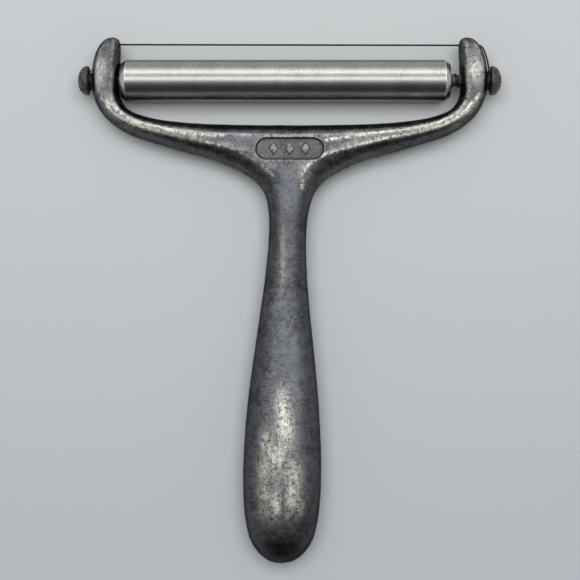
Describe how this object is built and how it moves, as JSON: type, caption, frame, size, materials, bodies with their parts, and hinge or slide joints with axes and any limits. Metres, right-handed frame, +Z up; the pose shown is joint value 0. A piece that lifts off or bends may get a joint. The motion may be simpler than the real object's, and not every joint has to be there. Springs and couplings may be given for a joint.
{
  "type": "cheese wire cutter",
  "caption": "Hand-held wire cheese slicer: a cast aluminium handle and yoke hold a tight cutting wire and a free-turning roller that sets the slice thickness.",
  "frame": {"origin": "on the surface the slicer lies on, under the middle of its box", "axes": "+X along the roller to the right, +Y from the handle towards the wire, +Z up out of the front of the casting"},
  "size_m": [0.1288, 0.1604, 0.0166],
  "materials": {
    "cast_aluminium": "as cast, dark grey tarnish, worn bright on edges and where it is held",
    "turned_aluminium": "satin, finely scratched round the bar",
    "rusty_steel": "dark brown, lightly rusted",
    "wire_steel": "dark drawn wire"
  },
  "bodies": {
    "frame": {"cast_frame": "cast_aluminium", "cutting_wire": "wire_steel"},
    "roller": {"roller": "turned_aluminium"},
    "left_screw": {"left_pivot_screw": "rusty_steel"},
    "right_screw": {"right_pivot_screw": "rusty_steel"}
  },
  "joints": [
    {"name": "roller_spin", "type": "hinge", "parent": "frame", "child": "roller", "pos_m": [0, 0.0669, 0.0083], "axis": [1, 0, 0], "continuous": true},
    {"name": "left_screw_turn", "type": "hinge", "parent": "frame", "child": "left_screw", "pos_m": [-0.0611, 0.0669, 0.0083], "axis": [-1, 0, 0], "range_deg": [0, 360]},
    {"name": "right_screw_turn", "type": "hinge", "parent": "frame", "child": "right_screw", "pos_m": [0.0611, 0.0669, 0.0083], "axis": [1, 0, 0], "range_deg": [0, 360]}
  ]
}
